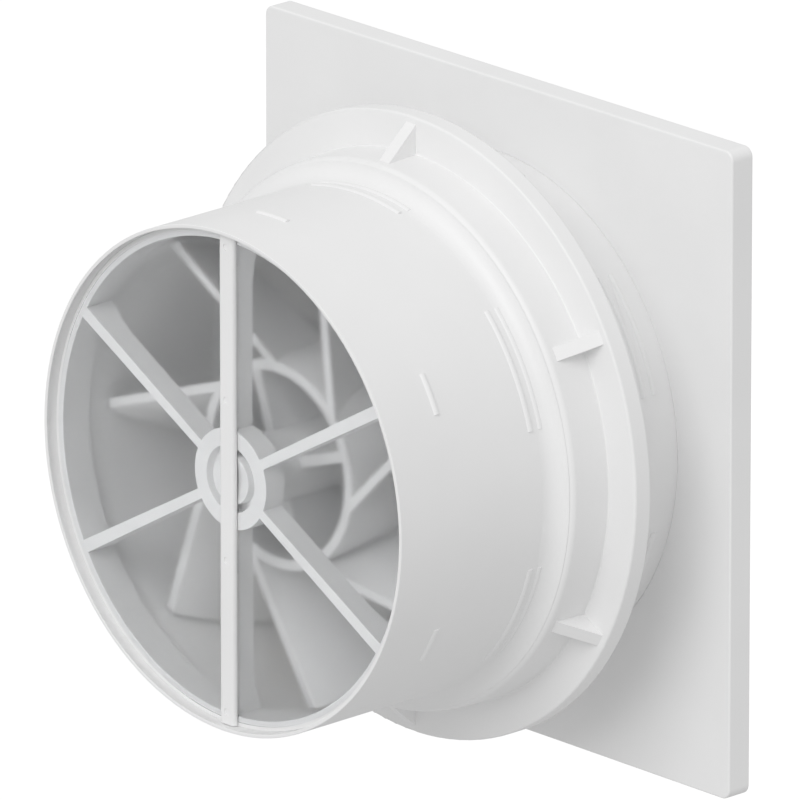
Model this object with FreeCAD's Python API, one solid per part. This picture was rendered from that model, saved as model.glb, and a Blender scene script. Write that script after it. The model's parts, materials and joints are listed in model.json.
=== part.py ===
import FreeCAD, Part
import math
import os

# Bathroom extractor fan with a rear duct spigot, axial impeller and a two-wing back-draught damper.
# Millimetres. The duct axis is +Y, pointing from the room into the duct, and +Z is up.
# The origin is on the duct axis, in the plane where the round flange lies against the wall.

# ---- driving dimensions ----
PANEL_SIDE = 162.0
PANEL_DEPTH = 6.8
PANEL_CORNER_R = 2.5
PANEL_BACK_Y = -27.8
PANEL_WALL = 2.0
PANEL_PLATE = 2.2

FLANGE_R = 77.4
FLANGE_T = 5.1
SOCKET_R = 62.9
SOCKET_DEPTH = 3.0
SHOULDER_R = 68.2
SHOULDER_LENGTH = 11.5
COVE_R = 5.0

SPIGOT_R = 62.4
SPIGOT_ROOT_R = 62.5
SPIGOT_SEAT_Y = 46.0
SPIGOT_END_Y = 61.7
RIM_BORE_R = 61.45
DUCT_BORE_R = 60.4

COLLAR_R = 62.8
COLLAR_WALL = 2.0
COLLAR_FLANGE_R = 68.0

LEDGE_Y = 58.65
LEDGE_R = 58.95
GUARD_BACK_Y = 50.0
SPOKE_DEPTH = 6.0
SPOKE_W_HUB = 2.45
SPOKE_W_WALL = 3.1
GUARD_HUB_R = 12.5
GUARD_HUB_HOLE_R = 8.3
GUARD_BOSS_R = 6.2
GUARD_HUB_GROOVE = 2.2
RADIAL_COUNT = 6
FIRST_RADIAL = 30.0

FILM_T = 0.3
FILM_LIFT = 0.1
FILM_R = 60.3
BAR_W = 5.2
BAR_T = 1.15
BAR_HALF = 61.2
HINGE_X = 2.75
SLOT_OUTER_X = 3.3
SLOT_SPANS = ((-53.8, -22.5), (-17.3, 17.3), (22.5, 53.8))
PEG_Z = (-58.0, -20.0, 20.0, 58.0)
PEG_R = 0.9

BLADE_COUNT = 7
BLADE_TIP_R = 59.2
FIRST_BLADE = 52.5
BLADE_SWEEP = 33.0
BLADE_EDGE_Y = 43.5
BLADE_DEPTH = 26.0
HUB_R = 25.8
HUB_BORE_R = 23.1
HUB_FLOOR_Y = 14.0
HUB_FLOOR_T = 2.5
HUB_BOSS_R = 8.65
HUB_BOSS_BORE_R = 6.0
HUB_BOSS_END_Y = 51.5
NUT_SEAT_Y = 36.0
HUB_RIB_FIRST = 71.4
HUB_RIB_T = 2.7

SHAFT_R = 2.5
SHAFT_Y = (-25.0, 39.5)
STACK_Y = (-16.0, -3.0)
STACK_HALF_W = 25.0
STACK_TOP = 22.0
STACK_BOTTOM = -36.0
STATOR_BORE_R = 13.3
ROTOR_R = 12.9
WINDOW = (15.0, -27.0, -17.0)
SHADING_SLOTS = ((-8.0, 14.0), (-15.5, 9.0), (8.0, -14.6), (15.0, -10.0))
LEG_TOP = -27.0
BUSH_R = 4.0
BUSH_RUN = 0.05
BUSH_LENGTH = 6.0
MOTOR_SCREW_X = 21.0
CARRIER_Y = (5.6, 8.6)
CARRIER_ANGLES = (90.0, 210.0, 330.0)
CARRIER_SCREW_R = 55.2

SCREW_R = 1.5
SCREW_HEAD_R = 2.8
SCREW_HEAD_H = 2.0

CABLE_ANGLE = -60.0
CABLE_Y = -14.5

BLOCK_X = (27.5, 44.4)
BLOCK_Y = (-6.0, 5.6)
BLOCK_Z = (-33.0, -21.5)

GRILLE_SIDE = 157.4
GRILLE_T = 2.0
GRILLE_OPEN_R = 54.0
SLAT_PITCH = 9.0
SLAT_TILT = 32.0

V = FreeCAD.Vector
ORIGIN = V(0, 0, 0)
ALONG = V(0, 1, 0)


# ---- shared helpers ----
def disc(r, y0, y1, x=0.0, z=0.0):
    return Part.makeCylinder(r, y1 - y0, V(x, y0, z), ALONG)


def tube(r_out, r_in, y0, y1, x=0.0, z=0.0):
    return disc(r_out, y0, y1, x, z).cut(disc(r_in, y0 - 1, y1 + 1, x, z))


def block(x0, x1, y0, y1, z0, z1):
    return Part.makeBox(x1 - x0, y1 - y0, z1 - z0, V(x0, y0, z0))


def turned(shape, degrees):
    """A copy turned about the duct axis, so that +X goes towards +Z."""
    copy = shape.copy()
    copy.rotate(ORIGIN, V(0, -1, 0), degrees)
    return copy


def around(shape, first, count):
    return [turned(shape, first + 360.0 / count * k) for k in range(count)]


def at_polar(r, degrees):
    angle = math.radians(degrees)
    return r * math.cos(angle), r * math.sin(angle)


def fused(shapes):
    return shapes[0].multiFuse(shapes[1:]).removeSplitter()


def rounded_wire(corners):
    """Closed wire in the XY plane through (r, y, fillet radius) corners."""
    count = len(corners)
    starts, ends, arcs = [], [], []
    for i in range(count):
        here = V(corners[i][0], corners[i][1], 0)
        before = V(corners[i - 1][0], corners[i - 1][1], 0)
        after = V(corners[(i + 1) % count][0], corners[(i + 1) % count][1], 0)
        radius = corners[i][2]
        to_before = (before - here).normalize()
        to_after = (after - here).normalize()
        if radius == 0:
            starts.append(here)
            ends.append(here)
            arcs.append(None)
            continue
        half = to_before.getAngle(to_after) / 2
        reach = radius / math.tan(half)
        bisector = (to_before + to_after).normalize()
        centre = here + bisector * (radius / math.sin(half))
        starts.append(here + to_before * reach)
        ends.append(here + to_after * reach)
        arcs.append(Part.Arc(starts[-1], centre - bisector * radius, ends[-1]))
    edges = []
    for i in range(count):
        if arcs[i]:
            edges.append(arcs[i].toShape())
        following = starts[(i + 1) % count]
        if (following - ends[i]).Length > 1e-6:
            edges.append(Part.LineSegment(ends[i], following).toShape())
    return Part.Wire(edges)


def revolved(corners, degrees=360.0):
    face = Part.Face(rounded_wire(corners))
    return face.revolve(ORIGIN, ALONG, degrees)


def arc_rib(r, y, width, height, half_angle):
    """A low half-round rib that follows a cylinder of radius r, centred on +X."""
    root = r - 0.4
    side = y - width / 2, y + width / 2
    points = [V(root, side[0], 0), V(r, side[0], 0), V(r + height, y, 0), V(r, side[1], 0), V(root, side[1], 0)]
    edges = [
        Part.LineSegment(points[0], points[1]).toShape(),
        Part.Arc(points[1], points[2], points[3]).toShape(),
        Part.LineSegment(points[3], points[4]).toShape(),
        Part.LineSegment(points[4], points[0]).toShape(),
    ]
    rib = Part.Face(Part.Wire(edges)).revolve(ORIGIN, ALONG, 2 * half_angle)
    return turned(rib, half_angle)


def prism(points, y0, y1):
    """Extrusion along Y of a polygon given as (x, z) points."""
    corners = [V(x, y0, z) for x, z in points]
    face = Part.Face(Part.makePolygon(corners + corners[:1]))
    return face.extrude(V(0, y1 - y0, 0))


def rounded_plate(side, radius, y0, y1):
    plate = block(-side / 2, side / 2, y0, y1, -side / 2, side / 2)
    upright = [e for e in plate.Edges if abs(e.tangentAt(e.FirstParameter).y) > 0.99]
    return plate.makeFillet(radius, upright)


def screw(y_head, length, x, z):
    """Pan-head screw whose head is on the room side and whose shank runs along +Y."""
    head = disc(SCREW_HEAD_R, y_head - SCREW_HEAD_H, y_head, x, z)
    rim = [e for e in head.Edges if abs(e.BoundBox.YMax - (y_head - SCREW_HEAD_H)) < 1e-6]
    head = head.makeFillet(0.8, rim)
    slot = block(x - 1.9, x + 1.9, y_head - SCREW_HEAD_H - 1, y_head - 1.1, z - 0.35, z + 0.35)
    cross = block(x - 0.35, x + 0.35, y_head - SCREW_HEAD_H - 1, y_head - 1.1, z - 1.9, z + 1.9)
    return head.fuse(disc(SCREW_R, y_head - 0.1, y_head + length, x, z)).cut(slot.fuse(cross))


# ---- housing ----
def rear_duct():
    """Spigot, shoulder, wall flange and screw bosses, moulded as one.

    The spigot has a little draft up to SPIGOT_SEAT_Y and is straight from there to its end.
    """
    shell = revolved([
        (SOCKET_R, -FLANGE_T, 0.3),
        (FLANGE_R, -FLANGE_T, 0.6),
        (FLANGE_R, 0, 0.6),
        (SHOULDER_R, 0, 0.4),
        (SHOULDER_R - 0.4, SHOULDER_LENGTH, 1.6),
        (SPIGOT_ROOT_R, SHOULDER_LENGTH, COVE_R - 0.6),
        (SPIGOT_R, SPIGOT_SEAT_Y, 0),
        (SPIGOT_R, SPIGOT_END_Y, 0.2),
        (RIM_BORE_R, SPIGOT_END_Y, 0.2),
        (RIM_BORE_R, GUARD_BACK_Y, 0),
        (DUCT_BORE_R, GUARD_BACK_Y, 0),
        (DUCT_BORE_R, SOCKET_DEPTH, 0.3),
        (SOCKET_R, SOCKET_DEPTH, 0),
    ])
    gusset_side = [V(66.5, -0.6, 0), V(75.7, -0.6, 0), V(75.7, 0, 0), V(68.0, 8.7, 0), V(66.5, 8.7, 0)]
    gusset = Part.Face(Part.makePolygon(gusset_side + gusset_side[:1])).extrude(V(0, 0, 3.4))
    gusset.translate(V(0, 0, -1.7))
    pieces = [shell] + around(gusset, FIRST_RADIAL, RADIAL_COUNT)
    for rib_y, half_angle in ((14.6, 14.0), (17.8, 14.0), (44.7, 4.7)):
        rib = arc_rib(SPIGOT_R, rib_y, 1.7, 0.5, half_angle)
        pieces += around(rib, FIRST_RADIAL, RADIAL_COUNT)
    body = fused(pieces)
    for angle in CARRIER_ANGLES:
        x, z = at_polar(CARRIER_SCREW_R, angle)
        boss = disc(3.4, CARRIER_Y[1], 15.0, x, z)
        web = turned(block(CARRIER_SCREW_R, DUCT_BORE_R + 0.6, CARRIER_Y[1], 15.0, -3.0, 3.0), angle)
        body = body.fuse(boss.fuse(web))
        body = body.cut(disc(SCREW_R + 0.02, CARRIER_Y[1] - 1, 14.0, x, z))
    return body.removeSplitter()


def inlet_collar():
    """Tube between the panel and the wall flange, held to the panel by a lip behind its plate."""
    inner_r = COLLAR_R - COLLAR_WALL
    plate_front = PANEL_BACK_Y - PANEL_PLATE
    shell = revolved([
        (inner_r, plate_front - 1.4, 0.3),
        (COLLAR_FLANGE_R, plate_front - 1.4, 0.3),
        (COLLAR_FLANGE_R, plate_front - 0.05, 0.2),
        (COLLAR_R, plate_front - 0.05, 0),
        (COLLAR_R, SOCKET_DEPTH - 0.1, 0.3),
        (inner_r, SOCKET_DEPTH - 0.1, 0.3),
    ])
    pieces = [shell]
    for rib_y in (-18.9, -22.3):
        pieces += around(arc_rib(COLLAR_R, rib_y, 1.5, 0.5, 14.0), FIRST_RADIAL, RADIAL_COUNT)
    return fused(pieces).cut(cable_hole(4.5))


def cable_hole(radius, r0=55.0, r1=70.0):
    """Cylinder that points outwards from the duct axis where the mains cable enters."""
    x0, z0 = at_polar(r0, CABLE_ANGLE)
    dx, dz = at_polar(1.0, CABLE_ANGLE)
    return Part.makeCylinder(radius, r1 - r0, V(x0, CABLE_Y, z0), V(dx, 0, dz))


def cable_grommet(collar):
    body = cable_hole(6.4, 59.3, 64.6).cut(cable_hole(2.6))
    return body.cut(collar)


def panel_tray():
    """Square panel, closed at the back and open to the room, with a round hole for the collar."""
    front = PANEL_BACK_Y - PANEL_DEPTH
    tray = rounded_plate(PANEL_SIDE, PANEL_CORNER_R, front, PANEL_BACK_Y)
    outline = [e for e in tray.Edges if e.BoundBox.YLength < 1e-6]
    tray = tray.makeFillet(0.45, outline)
    inner = PANEL_SIDE - 2 * PANEL_WALL
    pocket = rounded_plate(inner, 1.5, front - 1, PANEL_BACK_Y - PANEL_PLATE)
    return tray.cut(pocket).cut(disc(COLLAR_R + 0.05, front, PANEL_BACK_Y + 1))


def front_grille():
    """Louvred front plate that closes the panel."""
    front = PANEL_BACK_Y - PANEL_DEPTH
    plate = rounded_plate(GRILLE_SIDE, 1.3, front, front + GRILLE_T)
    outline = [e for e in plate.Edges if e.BoundBox.YMax < front + 1e-6]
    plate = plate.makeFillet(0.4, outline)
    plate = plate.cut(disc(GRILLE_OPEN_R, front - 1, front + GRILLE_T + 1))
    rim = tube(GRILLE_OPEN_R + 1.6, GRILLE_OPEN_R, front, front + 3.6)
    slat = block(-60, 60, -2.0, 2.0, -0.75, 0.75)
    slat = slat.makeFillet(0.5, [e for e in slat.Edges if e.BoundBox.XLength > 100])
    slat.rotate(ORIGIN, V(1, 0, 0), -SLAT_TILT)
    slat.translate(V(0, front + 2.0, 0))
    limit = disc(GRILLE_OPEN_R + 0.8, front, front + 3.6)
    pieces = [plate, rim]
    rows = int(GRILLE_OPEN_R / SLAT_PITCH)
    for row in range(-rows, rows + 1):
        copy = slat.copy()
        copy.translate(V(0, 0, row * SLAT_PITCH))
        pieces.append(copy.common(limit))
    for x in (-18.0, 18.0):
        pieces.append(block(x - 0.8, x + 0.8, front + 1.2, front + 3.4, -60, 60).common(limit))
    return fused(pieces)


def grille_clips():
    """Four spring legs behind the grille that grip inside the collar."""
    reach = COLLAR_R - COLLAR_WALL - 0.1
    back = PANEL_BACK_Y - PANEL_DEPTH + GRILLE_T
    foot = block(56.2, 61.5, back, back + 1.0, -5, 5)
    leg = tube(reach, reach - 1.0, back + 0.5, -23.0).common(block(50, 62, -40, 0, -5, 5))
    return around(foot.fuse(leg).removeSplitter(), 0.0, 4)


# ---- outlet guard and damper ----
def outlet_guard():
    """Ring with six spokes and a dished centre boss, seated behind the spigot's rim."""
    ring = revolved([
        (LEDGE_R, GUARD_BACK_Y, 0.2),
        (RIM_BORE_R - 0.05, GUARD_BACK_Y, 0),
        (RIM_BORE_R - 0.05, LEDGE_Y, 0),
        (LEDGE_R, LEDGE_Y, 0.25),
    ])
    y_back = LEDGE_Y - SPOKE_DEPTH
    side = [V(10, y_back, 0), V(48, y_back, 0), V(53, y_back - 0.6, 0), V(56.5, y_back - 1.8, 0),
            V(60.0, GUARD_BACK_Y + 0.05, 0), V(60.0, LEDGE_Y, 0), V(10, LEDGE_Y, 0)]
    thick = Part.Face(Part.makePolygon(side + side[:1])).extrude(V(0, 0, 8))
    thick.translate(V(0, 0, -4))
    hub_half, wall_half = SPOKE_W_HUB / 2, SPOKE_W_WALL / 2
    plan = prism([(10, -hub_half), (59, -wall_half), (60, -wall_half), (60, wall_half), (59, wall_half),
                  (10, hub_half)], y_back - 10, LEDGE_Y + 1)
    spoke = thick.common(plan)
    hub = revolved([
        (0, y_back - 0.2, 0),
        (GUARD_HUB_R, y_back - 0.2, 0.3),
        (GUARD_HUB_R, LEDGE_Y, 0.15),
        (GUARD_HUB_HOLE_R, LEDGE_Y, 0.15),
        (GUARD_HUB_HOLE_R - 0.3, LEDGE_Y - GUARD_HUB_GROOVE, 0.3),
        (GUARD_BOSS_R + 0.3, LEDGE_Y - GUARD_HUB_GROOVE, 0.3),
        (GUARD_BOSS_R, LEDGE_Y - 0.1, 0.15),
        (GUARD_BOSS_R - 0.7, LEDGE_Y - 0.1, 0.1),
        (0, LEDGE_Y - 0.9, 0),
    ])
    body = fused([ring, hub] + around(spoke, FIRST_RADIAL, RADIAL_COUNT))
    for z in PEG_Z:
        body = body.cut(disc(PEG_R + 0.03, LEDGE_Y - 2.6, LEDGE_Y + 1, 0, z))
    return body


def damper_bar():
    """Round-edged strip that clamps the damper film, with four pegs and a sink mark above each."""
    base = LEDGE_Y + FILM_T
    half = BAR_W / 2
    bar = block(-half, half, base, base + BAR_T, -BAR_HALF, BAR_HALF)
    long_edges = [e for e in bar.Edges if e.BoundBox.ZLength > 100 and e.BoundBox.YMin > base + 0.5]
    bar = bar.makeFillet(BAR_T - 0.08, long_edges)
    for z in PEG_Z:
        bar = bar.fuse(disc(PEG_R, LEDGE_Y - 2.4, base + 0.2, 0, z))
        bar = bar.cut(disc(0.85, base + BAR_T - 0.25, base + BAR_T + 1, 0, z))
    return bar.removeSplitter()


def half_film(inner_x):
    """Half disc of the damper film on the +X side, cut straight at inner_x."""
    y0 = LEDGE_Y + FILM_LIFT
    sheet = disc(FILM_R, y0, y0 + FILM_T)
    return sheet.common(block(inner_x, FILM_R + 1, y0 - 1, y0 + 1, -FILM_R - 1, FILM_R + 1))


def slot(z0, z1, x0, x1):
    """Slot in the film beside the bar, with its ends slanted."""
    slant = x1 - x0
    outline = [(x0, z0), (x1, z0 + slant), (x1, z1 - slant), (x0, z1)]
    return prism(outline, LEDGE_Y - 1, LEDGE_Y + 2)


def damper_wing(side):
    wing = half_film(HINGE_X + 0.05)
    for z0, z1 in SLOT_SPANS:
        wing = wing.cut(slot(z0, z1, HINGE_X - 0.5, SLOT_OUTER_X))
    if side > 0:
        return wing
    return wing.mirror(ORIGIN, V(1, 0, 0))


def damper_strip():
    """Middle of the film, clamped under the bar, with the stubs of its flexing webs."""
    y0 = LEDGE_Y
    edge = HINGE_X - 0.2
    strip = disc(FILM_R, y0, y0 + FILM_T).common(block(-edge, edge, y0 - 1, y0 + 1, -61, 61))
    slot_x = BAR_W / 2 - 0.1
    for z0, z1 in SLOT_SPANS:
        for x0, x1 in ((slot_x, edge + 1), (-edge - 1, -slot_x)):
            strip = strip.cut(block(x0, x1, y0 - 1, y0 + 1, z0, z1))
    for z in PEG_Z:
        strip = strip.cut(disc(PEG_R + 0.03, y0 - 1, y0 + 1, 0, z))
    return strip


# ---- impeller ----
def blade():
    """One blade with its tip's duct-side corner on +X, swept back and twisted along its depth."""
    root_x, root_z = at_polar(HUB_R, BLADE_SWEEP)
    along = V(BLADE_TIP_R - root_x, 0, -root_z)
    length = along.Length
    along.normalize()
    across = V(along.z, 0, -along.x)
    start = V(root_x, BLADE_EDGE_Y, root_z)
    sections = []
    for share in (-0.1, 0.2, 0.5, 0.8, 1.12):
        lean = 0.55 + 0.45 * max(share, 0.0)
        centre = start + along * (length * share)
        front, back = [], []
        for step in range(6):
            depth = BLADE_DEPTH * step / 5
            shift = lean * (0.36 * depth + 2.2 * (1 - math.exp(-depth / 6.0)))
            half = 1.15 - 0.5 * depth / BLADE_DEPTH
            middle = centre + across * shift - V(0, depth, 0)
            front.append(middle + across * half)
            back.append(middle - across * half)
        front_curve = Part.BSplineCurve()
        front_curve.interpolate(front)
        back_curve = Part.BSplineCurve()
        back_curve.interpolate(back[::-1])
        sections.append(Part.Wire([
            front_curve.toShape(),
            Part.LineSegment(front[-1], back[-1]).toShape(),
            back_curve.toShape(),
            Part.LineSegment(back[0], front[0]).toShape(),
        ]))
    solid = Part.makeLoft(sections, True, False)
    return solid.common(tube(BLADE_TIP_R, HUB_BORE_R + 1.2, 0, BLADE_EDGE_Y + 1))


def impeller():
    """Hub cup open to the duct, with four ribs round a long hollow boss, and seven blades outside."""
    floor_top = HUB_FLOOR_Y + HUB_FLOOR_T
    cup = revolved([
        (SHAFT_R, HUB_FLOOR_Y, 0),
        (HUB_R, HUB_FLOOR_Y, 3.5),
        (HUB_R, BLADE_EDGE_Y, 0.3),
        (HUB_BORE_R, BLADE_EDGE_Y, 0.3),
        (HUB_BORE_R, floor_top, 1.2),
        (HUB_BOSS_R, floor_top, 0.8),
        (HUB_BOSS_R - 0.15, HUB_BOSS_END_Y, 0.5),
        (HUB_BOSS_BORE_R, HUB_BOSS_END_Y, 0.3),
        (HUB_BOSS_BORE_R, NUT_SEAT_Y, 0.3),
        (SHAFT_R, NUT_SEAT_Y, 0),
    ])
    half = HUB_RIB_T / 2
    rib = block(HUB_BOSS_BORE_R + 1, HUB_BORE_R + 1, floor_top - 0.5, BLADE_EDGE_Y - 0.1, -half, half)
    body = fused([cup] + around(rib, HUB_RIB_FIRST, 4) + around(blade(), FIRST_BLADE, BLADE_COUNT))
    return body.cut(disc(SHAFT_R, 0, 60))


def impeller_nut():
    """Nut that holds the impeller on the shaft, down inside the boss."""
    nut = prism([at_polar(4.6, 60 * k) for k in range(6)], NUT_SEAT_Y, NUT_SEAT_Y + 2.6)
    return nut.cut(disc(SHAFT_R, 0, 60))


# ---- motor ----
def motor_shaft():
    shaft = disc(SHAFT_R, SHAFT_Y[0], SHAFT_Y[1])
    ends = [e for e in shaft.Edges if e.BoundBox.YLength < 1e-6]
    return shaft.makeChamfer(0.4, ends)


def rotor_core():
    core = disc(ROTOR_R, STACK_Y[0], STACK_Y[1])
    for y0, y1 in ((STACK_Y[0] - 1.5, STACK_Y[0]), (STACK_Y[1], STACK_Y[1] + 1.5)):
        core = core.fuse(disc(ROTOR_R - 0.6, y0, y1))
    return core.cut(disc(SHAFT_R, -60, 60)).removeSplitter()


def thrust_washers():
    room = STACK_Y[0] - 1.5
    duct = STACK_Y[1] + 1.5
    return [tube(4.4, SHAFT_R + BUSH_RUN, room - 0.45, room - 0.05),
            tube(4.4, SHAFT_R + BUSH_RUN, duct + 0.05, duct + 0.45)]


def stator_core():
    core = block(-STACK_HALF_W, STACK_HALF_W, STACK_Y[0], STACK_Y[1], STACK_BOTTOM, STACK_TOP)
    corners = [e for e in core.Edges if e.BoundBox.YLength > 10]
    core = core.makeFillet(5.0, corners)
    core = core.cut(block(-WINDOW[0], WINDOW[0], STACK_Y[0] - 1, STACK_Y[1] + 1, WINDOW[1], WINDOW[2]))
    core = core.cut(disc(STATOR_BORE_R, STACK_Y[0] - 1, STACK_Y[1] + 1))
    for x in (-MOTOR_SCREW_X, MOTOR_SCREW_X):
        core = core.cut(disc(SCREW_R + 0.15, STACK_Y[0] - 1, STACK_Y[1] + 1, x, 0))
    for x, z in SHADING_SLOTS:
        core = core.cut(disc(0.9, STACK_Y[0] - 1, STACK_Y[1] + 1, x, z))
    return core


def shading_rings():
    """Two copper loops, each through a pair of slots beside the rotor."""
    rings = []
    for first, second in (SHADING_SLOTS[:2], SHADING_SLOTS[2:]):
        legs = [disc(0.85, STACK_Y[0] - 1.0, STACK_Y[1] + 1.0, x, z) for x, z in (first, second)]
        span = V(second[0] - first[0], 0, second[1] - first[1])
        bars = []
        for y in (STACK_Y[0] - 1.0, STACK_Y[1] + 1.0):
            start = V(first[0], y, first[1])
            bars.append(Part.makeCylinder(0.85, span.Length, start, span))
            bars.append(Part.makeSphere(0.85, start))
            bars.append(Part.makeSphere(0.85, start + span))
        rings.append(fused(legs + bars))
    return rings


def coil_bobbin():
    """Plastic former round the stator's lower leg."""
    y0, y1 = STACK_Y
    sleeve = block(-14.4, 14.4, y0 - 1.0, y1 + 1.0, STACK_BOTTOM - 1.0, LEG_TOP + 1.0)
    cheeks = [block(x, x + 1.2, y0 - 7.6, y1 + 7.6, STACK_BOTTOM - 7.6, LEG_TOP + 9.4) for x in (-14.4, 13.2)]
    leg = block(-30, 30, y0 - 0.02, y1 + 0.02, STACK_BOTTOM - 0.02, LEG_TOP + 0.02)
    return fused([sleeve] + cheeks).cut(leg)


def coil_winding():
    y0, y1 = STACK_Y
    coil = block(-13.1, 13.1, y0 - 7.0, y1 + 7.0, STACK_BOTTOM - 7.0, LEG_TOP + 8.6)
    long_edges = [e for e in coil.Edges if e.BoundBox.XLength > 20]
    coil = coil.makeFillet(4.0, long_edges)
    return coil.cut(block(-20, 20, y0 - 1.02, y1 + 1.02, STACK_BOTTOM - 1.02, LEG_TOP + 1.02))


def bearing_bridge(face_y, way):
    """Arched metal strap across the stack that holds one bush. way is -1 room side, +1 duct side."""
    outer = face_y + way * 8.5
    y0, y1 = sorted((face_y + way * 5.9, outer))
    strap = block(-25, 25, y0, y1, -7, 7)
    pieces = [strap]
    low, high = sorted((face_y, outer))
    for x0, x1 in ((-25.0, -17.5), (17.5, 25.0)):
        pieces.append(block(x0, x1, low, high, -7, 7))
    inner, cap = sorted((face_y + way * 2.2, outer))
    pieces.append(disc(6.6, inner, cap))
    bridge = fused(pieces).cut(disc(BUSH_R + 0.02, -60, 60))
    for x in (-MOTOR_SCREW_X, MOTOR_SCREW_X):
        bridge = bridge.cut(disc(SCREW_R + 0.15, -60, 60, x, 0))
    return bridge


def bush(face_y, way):
    y0, y1 = sorted((face_y + way * 2.4, face_y + way * (2.4 + BUSH_LENGTH)))
    return tube(BUSH_R, SHAFT_R + BUSH_RUN, y0, y1)


def motor_screws():
    head_y = STACK_Y[0] - 8.5
    length = CARRIER_Y[1] - head_y - 0.2
    return [screw(head_y, length, x, 0) for x in (-MOTOR_SCREW_X, MOTOR_SCREW_X)]


def motor_carrier():
    """Ring with three arms and a centre plate that carries the motor in the air stream."""
    y0, y1 = CARRIER_Y
    ring = tube(DUCT_BORE_R - 0.05, 57.6, y0 - 1.5, y1)
    plate = disc(25.0, y0, y1).fuse(block(-27, 27, y0, y1, -7, 7))
    arm = block(20, 58.5, y0, y1, -3.4, 3.4)
    stiffener = block(27.5, 51.0, y1, y1 + 1.6, -1.0, 1.0)
    pad = disc(4.6, y0, y1, CARRIER_SCREW_R, 0)
    shelf = block(20, 50, y0, y1, -34, -20).common(disc(58.5, y0, y1))
    pieces = [ring, plate, shelf]
    for angle in CARRIER_ANGLES:
        pieces += [turned(arm, angle), turned(pad, angle), turned(stiffener, angle)]
    body = fused(pieces).cut(disc(9.0, -60, 60))
    for x in (-MOTOR_SCREW_X, MOTOR_SCREW_X):
        body = body.cut(disc(SCREW_R + 0.02, -60, 60, x, 0))
    for angle in CARRIER_ANGLES:
        x, z = at_polar(CARRIER_SCREW_R, angle)
        body = body.cut(disc(SCREW_R + 0.15, -60, 60, x, z))
        body = body.cut(disc(SCREW_HEAD_R + 0.3, -60, y0, x, z))
    return body


def carrier_screws():
    places = [at_polar(CARRIER_SCREW_R, angle) for angle in CARRIER_ANGLES]
    return [screw(CARRIER_Y[0], 8.0, x, z) for x, z in places]


# ---- wiring ----
def pole_x(index):
    return BLOCK_X[0] + (BLOCK_X[1] - BLOCK_X[0]) * (index + 0.5) / 3


def terminal_block():
    """Three-way terminal block, with a screw well and a wire hole for each way."""
    body = block(BLOCK_X[0], BLOCK_X[1], BLOCK_Y[0], BLOCK_Y[1], BLOCK_Z[0], BLOCK_Z[1])
    for index in range(3):
        x = pole_x(index)
        middle_z = sum(BLOCK_Z) / 2
        body = body.cut(disc(2.1, BLOCK_Y[0] - 1, BLOCK_Y[0] + 5.5, x, middle_z))
        wire = Part.makeCylinder(1.5, 20, V(x, BLOCK_Y[0] + 7.2, BLOCK_Z[0] - 2), V(0, 0, 1))
        body = body.cut(wire)
    return body


def terminal_screws():
    middle_z = sum(BLOCK_Z) / 2
    screws = []
    for index in range(3):
        head = disc(1.9, BLOCK_Y[0] + 1.0, BLOCK_Y[0] + 5.4, pole_x(index), middle_z)
        x = pole_x(index)
        screws.append(head.cut(block(x - 3, x + 3, BLOCK_Y[0], BLOCK_Y[0] + 1.9, middle_z - 0.3, middle_z + 0.3)))
    return screws


def lead_wires():
    """Two insulated leads from the coil to the terminal block."""
    leads = []
    for index, start_y in ((0, -1.5), (1, 1.2)):
        x = pole_x(index)
        way_points = [V(15.2, start_y, -39.0 - index * 1.6), V(20.0, start_y, -40.4 - index * 1.6),
                      V(x - 1.2, BLOCK_Y[0] + 7.2, -38.6), V(x, BLOCK_Y[0] + 7.2, BLOCK_Z[0] - 1.2),
                      V(x, BLOCK_Y[0] + 7.2, BLOCK_Z[0] + 3.0)]
        curve = Part.BSplineCurve()
        curve.interpolate(way_points)
        spine = Part.Wire([curve.toShape()])
        start_direction = curve.tangent(curve.FirstParameter)[0]
        profile = Part.Wire([Part.makeCircle(0.75, way_points[0], start_direction)])
        leads.append(spine.makePipeShell([profile], True, True))
    return leads


# ---- build ----
def save(name, shapes):
    if not isinstance(shapes, list):
        shapes = [shapes]
    solids = [solid for shape in shapes for solid in shape.Solids]
    for solid in solids:
        if not solid.isValid():
            print("not valid:", name)
    shape = solids[0] if len(solids) == 1 else Part.makeCompound(solids)
    shape.exportStep("parts/" + name + ".step")
    print(name, len(solids), round(sum(s.Volume for s in solids)))


def build():
    os.makedirs("parts", exist_ok=True)
    collar = inlet_collar()
    save("rear_duct", rear_duct())
    save("inlet_collar", collar)
    save("cable_grommet", cable_grommet(collar))
    save("panel_tray", panel_tray())
    save("front_grille", front_grille())
    save("grille_clips", grille_clips())
    save("outlet_guard", outlet_guard())
    save("damper_bar", damper_bar())
    save("damper_strip", damper_strip())
    save("damper_wing_left", damper_wing(1))
    save("damper_wing_right", damper_wing(-1))
    save("impeller", impeller())
    save("impeller_nut", impeller_nut())
    save("motor_shaft", motor_shaft())
    save("rotor_core", rotor_core())
    save("thrust_washers", thrust_washers())
    save("stator_core", stator_core())
    save("shading_rings", shading_rings())
    save("coil_bobbin", coil_bobbin())
    save("coil_winding", coil_winding())
    save("room_bearing_bridge", bearing_bridge(STACK_Y[0], -1))
    save("duct_bearing_bridge", bearing_bridge(STACK_Y[1], 1))
    save("room_bush", bush(STACK_Y[0], -1))
    save("duct_bush", bush(STACK_Y[1], 1))
    save("motor_screws", motor_screws())
    save("motor_carrier", motor_carrier())
    save("carrier_screws", carrier_screws())
    save("terminal_block", terminal_block())
    save("terminal_screws", terminal_screws())
    save("lead_wires", lead_wires())


build()
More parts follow.
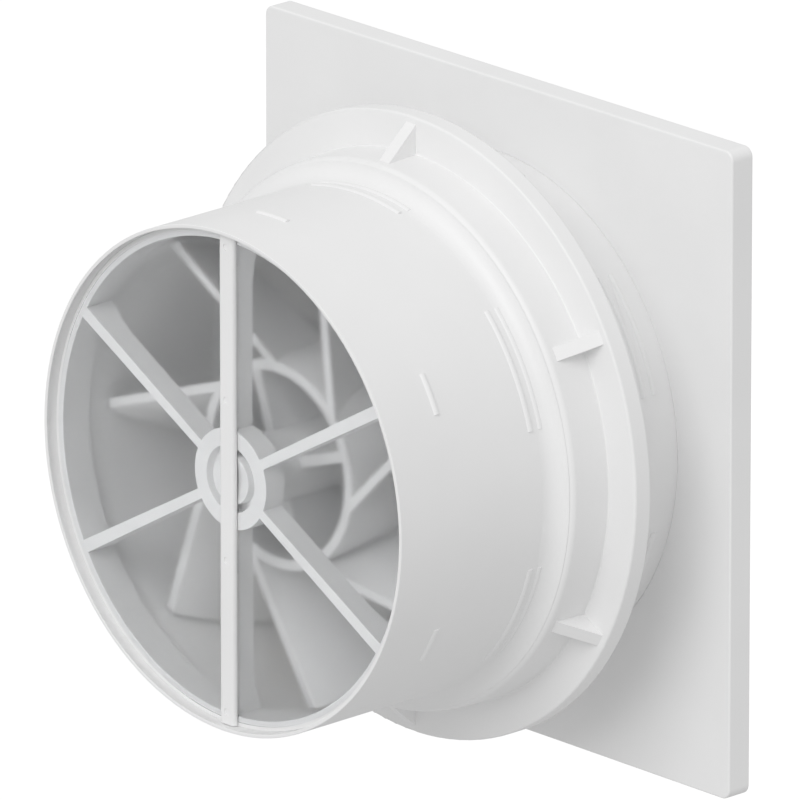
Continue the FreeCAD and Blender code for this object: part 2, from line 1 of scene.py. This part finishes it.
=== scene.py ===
import bpy
import json
import math
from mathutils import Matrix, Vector


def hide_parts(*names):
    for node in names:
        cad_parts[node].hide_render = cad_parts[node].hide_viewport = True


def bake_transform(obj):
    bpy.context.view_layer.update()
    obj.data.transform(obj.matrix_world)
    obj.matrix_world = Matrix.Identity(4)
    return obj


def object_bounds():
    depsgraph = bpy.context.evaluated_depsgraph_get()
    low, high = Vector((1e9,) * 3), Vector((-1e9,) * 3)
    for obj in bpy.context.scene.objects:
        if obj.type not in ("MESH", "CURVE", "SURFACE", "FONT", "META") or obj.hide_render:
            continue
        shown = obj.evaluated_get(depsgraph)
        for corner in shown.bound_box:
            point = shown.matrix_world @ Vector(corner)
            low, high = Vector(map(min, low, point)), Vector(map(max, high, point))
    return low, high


# Bathroom extractor fan: materials, damper film, floor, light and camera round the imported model.
# Metres, in the model's own frame: +Y from the room into the duct, +Z up, origin in the wall plane.

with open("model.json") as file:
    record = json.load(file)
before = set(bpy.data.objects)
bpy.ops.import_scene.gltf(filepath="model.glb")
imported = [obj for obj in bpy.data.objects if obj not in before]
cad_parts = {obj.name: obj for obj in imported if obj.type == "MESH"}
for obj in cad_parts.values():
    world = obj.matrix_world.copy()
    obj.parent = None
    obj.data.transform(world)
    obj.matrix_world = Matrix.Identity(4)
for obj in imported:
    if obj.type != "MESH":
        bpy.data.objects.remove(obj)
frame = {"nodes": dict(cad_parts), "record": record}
CAD_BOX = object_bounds()
NODES = frame["nodes"]
MM = 0.001


# ---- material helpers ----
# Most of a noise texture's values lie between these two.
NOISE_LOW = 0.3
NOISE_HIGH = 0.7
NOISE_ROUGHNESS = 0.55


def new_material(name):
    """An empty node material with its Principled shader and output already joined."""
    material = bpy.data.materials.new(name)
    material.use_nodes = True
    tree = material.node_tree
    tree.nodes.clear()
    output = tree.nodes.new("ShaderNodeOutputMaterial")
    shader = tree.nodes.new("ShaderNodeBsdfPrincipled")
    tree.links.new(shader.outputs["BSDF"], output.inputs["Surface"])
    return material, tree, shader


def noise(tree, size, detail=3.0):
    """Noise in object space whose features are about size metres across."""
    place = tree.nodes.new("ShaderNodeTexCoord")
    texture = tree.nodes.new("ShaderNodeTexNoise")
    texture.inputs["Scale"].default_value = 1.0 / size
    texture.inputs["Detail"].default_value = detail
    texture.inputs["Roughness"].default_value = NOISE_ROUGHNESS
    tree.links.new(place.outputs["Object"], texture.inputs["Vector"])
    return texture.outputs["Fac"]


def ramp(tree, source, low, high):
    """Maps a noise value to a colour between low and high."""
    node = tree.nodes.new("ShaderNodeValToRGB")
    node.color_ramp.elements[0].position = NOISE_LOW
    node.color_ramp.elements[1].position = NOISE_HIGH
    node.color_ramp.elements[0].color = (*low, 1.0)
    node.color_ramp.elements[1].color = (*high, 1.0)
    tree.links.new(source, node.inputs["Fac"])
    return node.outputs["Color"]


def spread(tree, source, low, high):
    """Maps a noise value to a number between low and high."""
    node = tree.nodes.new("ShaderNodeMapRange")
    node.inputs["From Min"].default_value = NOISE_LOW
    node.inputs["From Max"].default_value = NOISE_HIGH
    node.inputs["To Min"].default_value = low
    node.inputs["To Max"].default_value = high
    tree.links.new(source, node.inputs["Value"])
    return node.outputs["Result"]


def add_bump(tree, shader, source, depth):
    """Surface relief of the given depth in metres."""
    bump = tree.nodes.new("ShaderNodeBump")
    bump.inputs["Strength"].default_value = 1.0
    bump.inputs["Distance"].default_value = depth
    tree.links.new(source, bump.inputs["Height"])
    tree.links.new(bump.outputs["Normal"], shader.inputs["Normal"])


# ---- materials ----
def white_plastic():
    """Satin white moulding: fine spark-eroded grain, slightly uneven gloss."""
    material, tree, shader = new_material("white_plastic")
    wide = noise(tree, 0.035, 2.0)
    grain = noise(tree, 0.00035, 2.0)
    tint = ramp(tree, wide, (0.86, 0.86, 0.86), (0.885, 0.885, 0.885))
    tree.links.new(tint, shader.inputs["Base Color"])
    tree.links.new(spread(tree, wide, 0.42, 0.5), shader.inputs["Roughness"])
    add_bump(tree, shader, grain, 0.000012)
    shader.inputs["IOR"].default_value = 1.5
    return material


def frosted_film():
    """Thin translucent film, lightly etched on both faces."""
    material, tree, shader = new_material("frosted_film")
    cloud = noise(tree, 0.02, 2.0)
    grain = noise(tree, 0.0004, 2.0)
    tint = ramp(tree, cloud, (0.95, 0.955, 0.96), (0.965, 0.97, 0.975))
    tree.links.new(tint, shader.inputs["Base Color"])
    tree.links.new(spread(tree, grain, 0.2, 0.23), shader.inputs["Roughness"])
    add_bump(tree, shader, grain, 0.000001)
    shader.inputs["Transmission Weight"].default_value = 1.0
    shader.inputs["IOR"].default_value = 1.13
    return material


def metal(name, low, high, rough_low, rough_high, grain_size, depth):
    """Bare or plated metal with uneven tone, gloss and a fine surface."""
    material, tree, shader = new_material(name)
    wide = noise(tree, 0.006, 4.0)
    grain = noise(tree, grain_size, 3.0)
    tree.links.new(ramp(tree, wide, low, high), shader.inputs["Base Color"])
    tree.links.new(spread(tree, grain, rough_low, rough_high), shader.inputs["Roughness"])
    add_bump(tree, shader, grain, depth)
    shader.inputs["Metallic"].default_value = 1.0
    return material


def plain_polymer(name, low, high, rough_low, rough_high, depth=0.00002):
    """Unpainted polymer, rubber or insulation with a mottled surface."""
    material, tree, shader = new_material(name)
    wide = noise(tree, 0.008, 3.0)
    grain = noise(tree, 0.0005, 3.0)
    tree.links.new(ramp(tree, wide, low, high), shader.inputs["Base Color"])
    tree.links.new(spread(tree, grain, rough_low, rough_high), shader.inputs["Roughness"])
    add_bump(tree, shader, grain, depth)
    return material


SHEET_T = 0.5
# A banded wave texture runs through this many radians per unit of its own scale.
WAVE_RADIANS = 20


def laminated_steel():
    """Edges of thin steel sheets stacked along Y."""
    material, tree, shader = new_material("laminated_steel")
    place = tree.nodes.new("ShaderNodeTexCoord")
    sheets = tree.nodes.new("ShaderNodeTexWave")
    sheets.wave_type = "BANDS"
    sheets.bands_direction = "Y"
    sheets.inputs["Scale"].default_value = 2 * math.pi / (WAVE_RADIANS * SHEET_T * MM)
    sheets.inputs["Distortion"].default_value = 0.4
    tree.links.new(place.outputs["Object"], sheets.inputs["Vector"])
    tint = ramp(tree, sheets.outputs["Fac"], (0.16, 0.165, 0.17), (0.36, 0.37, 0.38))
    tree.links.new(tint, shader.inputs["Base Color"])
    tree.links.new(spread(tree, noise(tree, 0.002), 0.4, 0.6), shader.inputs["Roughness"])
    add_bump(tree, shader, sheets.outputs["Fac"], 0.00002)
    shader.inputs["Metallic"].default_value = 0.8
    return material


def make_materials():
    """One material for each slot in the record."""
    zinc = (0.55, 0.56, 0.57), (0.68, 0.68, 0.66)
    steel = (0.5, 0.51, 0.52), (0.62, 0.63, 0.64)
    rotor = (0.5, 0.5, 0.51), (0.64, 0.64, 0.65)
    black = (0.02, 0.02, 0.02), (0.035, 0.035, 0.035)
    brown = (0.2, 0.08, 0.03), (0.26, 0.11, 0.05)
    return {
        "white_plastic": white_plastic(),
        "damper_film": frosted_film(),
        "rubber": plain_polymer("rubber", *black, 0.6, 0.8),
        "spring_steel": metal("spring_steel", *steel, 0.25, 0.35, 0.0008, 0.000004),
        "zinc_steel": metal("zinc_steel", *zinc, 0.3, 0.45, 0.0012, 0.000008),
        "rotor_metal": metal("rotor_metal", *rotor, 0.3, 0.5, 0.0006, 0.00001),
        "lamination_steel": laminated_steel(),
        "copper": metal("copper", (0.68, 0.34, 0.2), (0.8, 0.45, 0.3), 0.25, 0.4, 0.001, 0.000005),
        "bronze": metal("bronze", (0.5, 0.36, 0.18), (0.66, 0.5, 0.28), 0.4, 0.6, 0.0003, 0.00001),
        "nylon": plain_polymer("nylon", (0.62, 0.6, 0.54), (0.7, 0.68, 0.62), 0.4, 0.55),
        "coil_tape": plain_polymer("coil_tape", (0.5, 0.36, 0.06), (0.6, 0.45, 0.1), 0.3, 0.45, 0.00004),
        "wire_insulation": plain_polymer("wire_insulation", *brown, 0.35, 0.5),
    }


def finish_nodes(materials):
    """Gives each CAD node the material of its slot in the record."""
    for entry in frame["record"]["subparts"]:
        mesh = NODES[entry["node"]].data
        mesh.materials.clear()
        mesh.materials.append(materials[entry["material_slot"]])


# ---- damper film ----
# Millimetres. X is measured away from the bar's middle line on either side of it.
FILM_RADIUS = 60.3
FILM_FACES_Y = (58.68, 58.93)
FILM_INNER_X = 0.95
HINGE_COLUMNS = (2.35, 2.55, 2.75, 2.95, 3.3)
SLOT_ENDS = (17.3, 22.5, 53.8)
SLOT_LEAN = 0.175
LEAN_CENTRE = 2.5
ROW_CLEARANCE = 0.9
FILM_EDGE_ANGLE = 86.7
ANGLE_STEPS = 58
OUTER_STEPS = 12


def in_slot(z):
    """Whether a height falls within one of the slots beside the bar."""
    return abs(z) < SLOT_ENDS[0] or SLOT_ENDS[1] < abs(z) < SLOT_ENDS[2]


def film_rows():
    """Heights of the film's rows, closer together where the round edge runs across them."""
    rows = []
    for step in range(ANGLE_STEPS + 1):
        angle = math.radians(FILM_EDGE_ANGLE) * (2 * step / ANGLE_STEPS - 1)
        rows.append(FILM_RADIUS * math.sin(angle))
    ends = [side * z for z in SLOT_ENDS for side in (-1, 1)]
    rows = [z for z in rows if all(abs(z - end) > ROW_CLEARANCE for end in ends)]
    return sorted(rows + ends)


def slanted(z, column):
    """Height of a row at one hinge column: a slot's end leans by SLOT_LEAN a column."""
    if abs(z) not in SLOT_ENDS:
        return z
    lean = (column - LEAN_CENTRE) * SLOT_LEAN
    outwards = -1 if abs(z) == SLOT_ENDS[1] else 1
    return z + math.copysign(lean * outwards, z)


def closed_sheet(name, places, faces, depths):
    """Mesh with two faces, at the two depths along Y, and walls round every edge."""
    front = [(x * MM, depths[1] * MM, z * MM) for x, z in places]
    back = [(x * MM, depths[0] * MM, z * MM) for x, z in places]
    count = len(places)
    sides = {}
    for face in faces:
        for a, b in zip(face, face[1:] + face[:1]):
            sides[(a, b)] = (b, a) not in sides
            if not sides[(a, b)]:
                sides[(b, a)] = False
    walls = [(b, a, a + count, b + count) for (a, b), open_edge in sides.items() if open_edge]
    backs = [tuple(index + count for index in reversed(face)) for face in faces]
    mesh = bpy.data.meshes.new(name)
    mesh.from_pydata(front + back, [], [tuple(face) for face in faces] + backs + walls)
    mesh.validate()
    return mesh


def damper_half(name, side):
    """Half of the film: clamped part under the bar, webs between the slots, and the wing."""
    places, faces = [], []
    rows = film_rows()
    columns = 1 + len(HINGE_COLUMNS) + OUTER_STEPS
    for z in rows:
        edge = math.sqrt(FILM_RADIUS ** 2 - z ** 2)
        places.append((side * FILM_INNER_X, z))
        for column, x in enumerate(HINGE_COLUMNS):
            places.append((side * x, slanted(z, column)))
        start = HINGE_COLUMNS[-1]
        for step in range(1, OUTER_STEPS + 1):
            share = step / OUTER_STEPS
            bend = slanted(z, len(HINGE_COLUMNS) - 1) - z
            places.append((side * (start + (edge - start) * share), z + bend * (1 - share) ** 2))
    for row in range(len(rows) - 1):
        middle = (rows[row] + rows[row + 1]) / 2
        for column in range(columns - 1):
            if in_slot(middle) and 1 <= column < len(HINGE_COLUMNS):
                continue
            corner = row * columns + column
            face = [corner, corner + 1, corner + columns + 1, corner + columns]
            faces.append(face if side < 0 else face[::-1])
    mesh = closed_sheet(name, places, faces, FILM_FACES_Y)
    film = bpy.data.objects.new(name, mesh)
    bpy.context.scene.collection.objects.link(film)
    return film


def add_damper(material):
    """Both halves of the film, one each side of the bar, in place of the CAD film nodes, which are
    hidden.
    """
    for side, body in ((1, "wing_left"), (-1, "wing_right")):
        film = damper_half("film_" + body, side)
        film.data.materials.append(material)
        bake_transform(film)
        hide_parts("damper_" + body, "damper_strip")


# ---- stage ----
FLOOR_DROP = 0.5
FLOOR_SIDE = 16.0
FLOOR_GLOW = 0.14


def add_floor():
    """Large pale floor well below the fan. It glows a little and lights nothing on the fan."""
    low = CAD_BOX[0][2] - FLOOR_DROP
    mesh = bpy.data.meshes.new("floor")
    half = FLOOR_SIDE / 2
    corners = [(-half, -half, low), (half, -half, low), (half, half, low), (-half, half, low)]
    mesh.from_pydata(corners, [], [(0, 1, 2, 3)])
    floor = bpy.data.objects.new("floor", mesh)
    bpy.context.scene.collection.objects.link(floor)
    floor.visible_diffuse = False
    floor.visible_glossy = False
    floor.visible_shadow = False
    material, tree, shader = new_material("pale_floor")
    tone = ramp(tree, noise(tree, 0.4), (0.975, 0.975, 0.975), (0.985, 0.985, 0.985))
    tree.links.new(tone, shader.inputs["Base Color"])
    shader.inputs["Roughness"].default_value = 0.9
    shader.inputs["Emission Color"].default_value = (1.0, 1.0, 1.0, 1.0)
    shader.inputs["Emission Strength"].default_value = FLOOR_GLOW
    mesh.materials.append(material)


def add_soft_light(towards, size, strength):
    """Distant soft light from the given direction, size degrees across."""
    light = bpy.data.lights.new("softbox", "SUN")
    light.energy = strength
    light.angle = math.radians(size)
    lamp = bpy.data.objects.new("softbox", light)
    lamp.rotation_euler = (-Vector(towards)).to_track_quat("-Z", "Y").to_euler()
    bpy.context.scene.collection.objects.link(lamp)


def add_world(low, high):
    """Even studio surroundings, a little brighter from above than from below."""
    world = bpy.data.worlds.new("studio")
    world.use_nodes = True
    tree = world.node_tree
    background = tree.nodes["Background"]
    background.inputs["Color"].default_value = (1.0, 1.0, 1.0, 1.0)
    place = tree.nodes.new("ShaderNodeTexCoord")
    split = tree.nodes.new("ShaderNodeSeparateXYZ")
    level = tree.nodes.new("ShaderNodeMapRange")
    level.inputs["From Min"].default_value = -1.0
    level.inputs["From Max"].default_value = 1.0
    level.inputs["To Min"].default_value = low
    level.inputs["To Max"].default_value = high
    tree.links.new(place.outputs["Generated"], split.inputs["Vector"])
    tree.links.new(split.outputs["Z"], level.inputs["Value"])
    tree.links.new(level.outputs["Result"], background.inputs["Strength"])
    bpy.context.scene.world = world


WORLD_LOW = 0.52
WORLD_HIGH = 0.76
KEY_TOWARDS = (-0.25, 0.74, 0.63)
KEY_SIZE = 40
KEY_STRENGTH = 1.02
VIEW_AZIMUTH = math.radians(226.81)
VIEW_ELEVATION = math.radians(18.47)
VIEW_DISTANCE = 4.615
VIEW_TARGET = Vector((0.03345, -0.0278, -0.00815))
LENS = 861.45
SENSOR = 36.0
FAR_CLIP = 50.0


def view_direction(azimuth, elevation):
    """Unit vector from the object towards the camera."""
    flat = math.cos(elevation)
    return Vector((math.sin(azimuth) * flat, -math.cos(azimuth) * flat, math.sin(elevation)))


def add_camera():
    """Camera with a long lens, at the set angle and distance from the fan."""
    data = bpy.data.cameras.new("camera")
    data.sensor_width = SENSOR
    data.lens = LENS
    data.clip_end = FAR_CLIP
    camera = bpy.data.objects.new("camera", data)
    back = view_direction(VIEW_AZIMUTH, VIEW_ELEVATION)
    camera.location = VIEW_TARGET + back * VIEW_DISTANCE
    camera.rotation_euler = (-back).to_track_quat("-Z", "Y").to_euler()
    bpy.context.scene.collection.objects.link(camera)
    bpy.context.scene.camera = camera


bpy.context.scene.view_settings.view_transform = "Standard"
materials = make_materials()
finish_nodes(materials)
add_damper(materials["damper_film"])
add_floor()
add_world(WORLD_LOW, WORLD_HIGH)
add_soft_light(KEY_TOWARDS, KEY_SIZE, KEY_STRENGTH)
add_camera()
